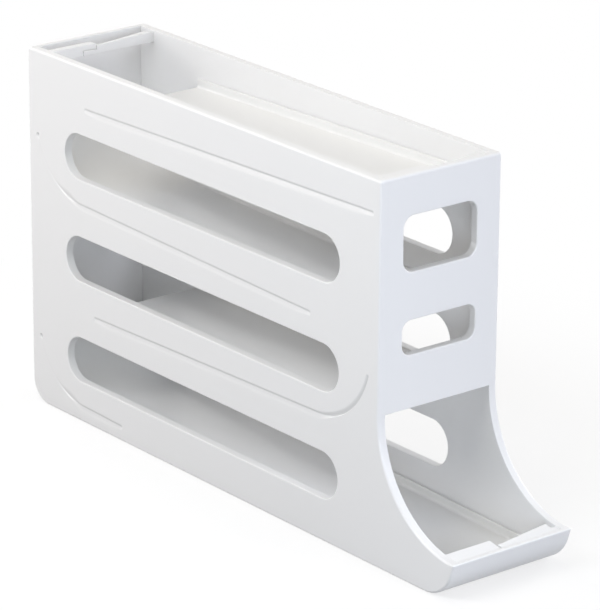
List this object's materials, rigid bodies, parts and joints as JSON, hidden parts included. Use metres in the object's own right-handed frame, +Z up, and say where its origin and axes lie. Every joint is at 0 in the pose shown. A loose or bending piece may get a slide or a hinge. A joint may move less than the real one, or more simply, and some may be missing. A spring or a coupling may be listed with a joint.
{
  "type": "egg holder",
  "caption": "Upright white plastic egg dispenser: zig-zag ramps between slotted side panels, open top trough, curved mouth with a rounded lip at the front.",
  "frame": {"origin": "middle of the footprint, on the standing surface", "axes": "+Z up; the mouth faces -Y, the length runs along Y and the width along X"},
  "size_m": [0.08, 0.3668, 0.208],
  "materials": {
    "panel_plastic": "satin white moulded plastic",
    "tray_plastic": "satin white moulded plastic"
  },
  "bodies": {
    "root": {"left_side_panel": "panel_plastic", "right_side_panel": "panel_plastic", "front_panel": "panel_plastic", "back_panel": "panel_plastic", "front_lip": "panel_plastic", "top_tray": "tray_plastic", "second_tray": "tray_plastic", "third_tray": "tray_plastic", "bottom_tray": "tray_plastic"}
  },
  "joints": []
}
